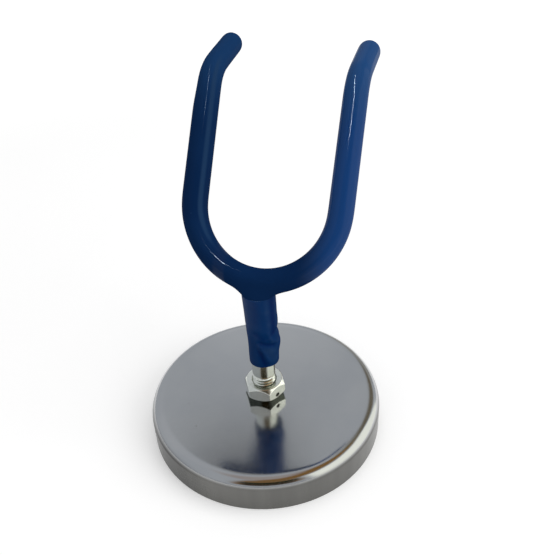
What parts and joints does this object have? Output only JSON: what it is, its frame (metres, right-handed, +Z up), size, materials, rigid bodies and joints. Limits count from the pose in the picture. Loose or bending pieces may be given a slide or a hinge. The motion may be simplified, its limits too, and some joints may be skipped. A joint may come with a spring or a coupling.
{
  "type": "magnetic tool holder",
  "caption": "Round pot magnet with an upright threaded stem that carries a vinyl-coated U-shaped fork, leaning back, whose prong tips turn level to keep a tool in its cradle.",
  "frame": {"origin": "centre of the magnet's flat face, on the stem's axis", "axes": "+Z up the stem, away from the magnet's face; X across the prongs; the fork leans back towards +Y"},
  "size_m": [0.08, 0.0993, 0.1184],
  "materials": {
    "nickel_plate": "satin nickel plate",
    "ferrite": "ground sintered ferrite",
    "potting_resin": "cast resin",
    "zinc_plate": "bright zinc plate",
    "drawn_steel": "bare drawn steel",
    "blue_vinyl": "glossy dipped vinyl",
    "blue_sleeve": "shrunk vinyl sleeve"
  },
  "bodies": {
    "magnet_base": {"magnet_cup": "nickel_plate", "ring_magnet": "ferrite", "potting_ring": "potting_resin"},
    "fork": {"fork_stem": "zinc_plate", "fork_rod": "drawn_steel", "fork_coating": "blue_vinyl", "stem_sleeve": "blue_sleeve", "retaining_nut": "zinc_plate", "spring_washer": "zinc_plate", "flat_washer": "zinc_plate"},
    "lock_nut": {"lock_nut": "zinc_plate"}
  },
  "joints": [
    {"name": "fork_swivel", "type": "hinge", "parent": "magnet_base", "child": "fork", "pos_m": [0, 0, 0.0125], "axis": [0, 0, 1], "continuous": true},
    {"name": "lock_nut_turn", "type": "hinge", "parent": "fork", "child": "lock_nut", "pos_m": [0, 0, 0.01575], "axis": [0, 0, 1], "range_deg": [0, 1008]}
  ]
}
